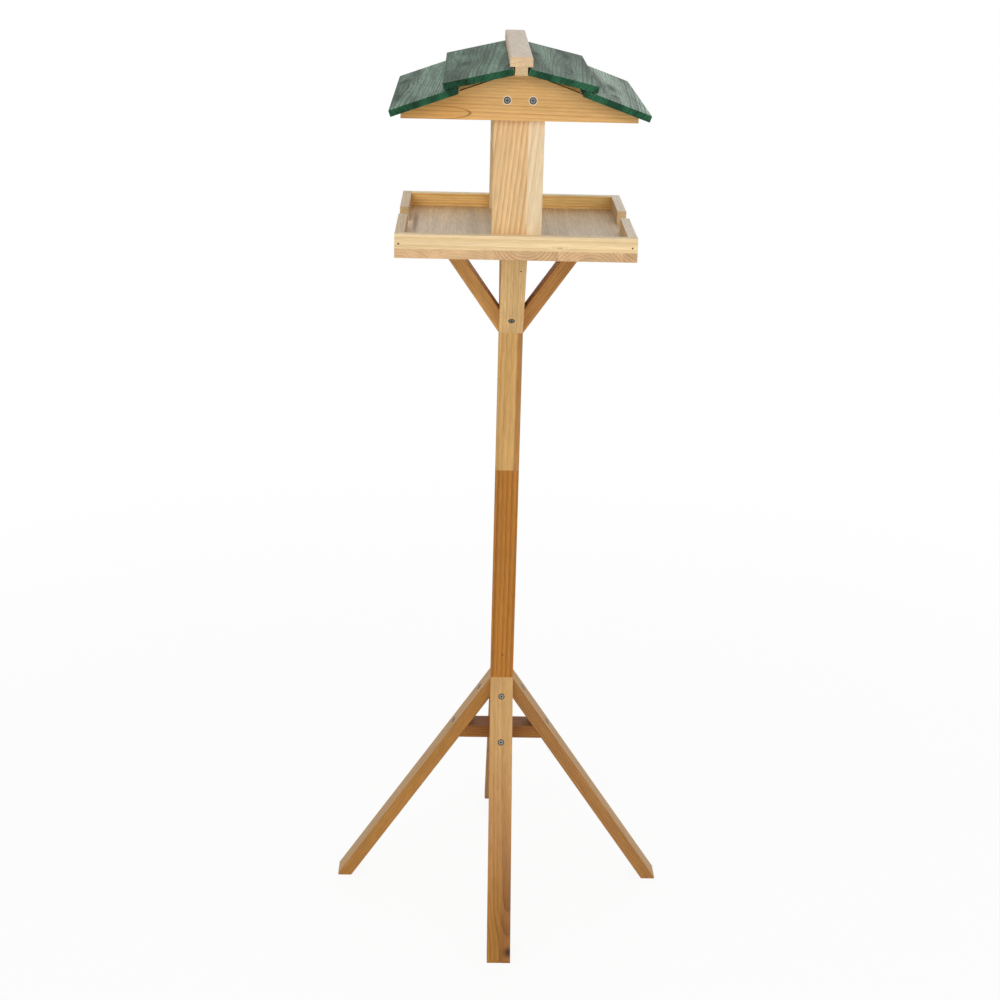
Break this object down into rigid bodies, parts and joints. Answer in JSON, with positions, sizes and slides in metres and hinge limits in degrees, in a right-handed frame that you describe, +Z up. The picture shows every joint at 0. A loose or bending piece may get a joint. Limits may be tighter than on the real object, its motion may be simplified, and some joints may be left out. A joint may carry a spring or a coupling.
{
  "type": "bird table",
  "caption": "Free-standing wooden bird table: a railed square tray under a lapped plank roof, on a braced square post with sloping legs.",
  "frame": {"origin": "on the ground under the post's axis, which is the middle of the footprint", "axes": "+X to the right seen from the front, +Y towards the back, +Z up; the front gable and the front leg face -Y"},
  "size_m": [0.4704, 0.4704, 1.2075],
  "materials": {
    "base_pine": "planed softwood, brown, oiled",
    "post_brown_pine": "planed softwood, honey brown, oiled",
    "post_pale_pine": "planed softwood, pale, bare",
    "tray_pine": "planed softwood board, bare",
    "rail_pine": "planed softwood, pale, bare",
    "upright_pine": "planed softwood, pinkish tan, bare",
    "gable_pine": "planed softwood, honey, bare",
    "green_wood": "softwood under a thin green stain, matt",
    "ridge_pine": "planed softwood, bare, a little grey",
    "zinc": "zinc plated countersunk wood screw"
  },
  "bodies": {
    "root": {"leg_front": "base_pine", "leg_left": "base_pine", "leg_right": "base_pine", "leg_back": "base_pine", "level_brace_across": "base_pine", "level_brace_along": "base_pine", "post_lower": "post_brown_pine", "post_upper": "post_pale_pine", "post_dowel": "post_pale_pine", "tray_brace_front": "post_pale_pine", "tray_brace_left": "base_pine", "tray_brace_right": "base_pine", "tray_brace_back": "base_pine", "tray_floor": "tray_pine", "rail_front": "rail_pine", "rail_back": "rail_pine", "rail_left_front": "rail_pine", "rail_left_back": "rail_pine", "rail_right_front": "rail_pine", "rail_right_back": "rail_pine", "upright_front": "upright_pine", "upright_back": "upright_pine", "gable_front": "gable_pine", "gable_back": "gable_pine", "roof_plank_lower_left": "green_wood", "roof_plank_lower_right": "green_wood", "roof_plank_upper_left": "green_wood", "roof_plank_upper_right": "green_wood", "ridge_strip": "ridge_pine", "ridge_cap": "ridge_pine", "leg_top_screws": "zinc", "leg_foot_screws": "zinc", "brace_screws": "zinc", "gable_screws": "zinc"}
  },
  "joints": []
}
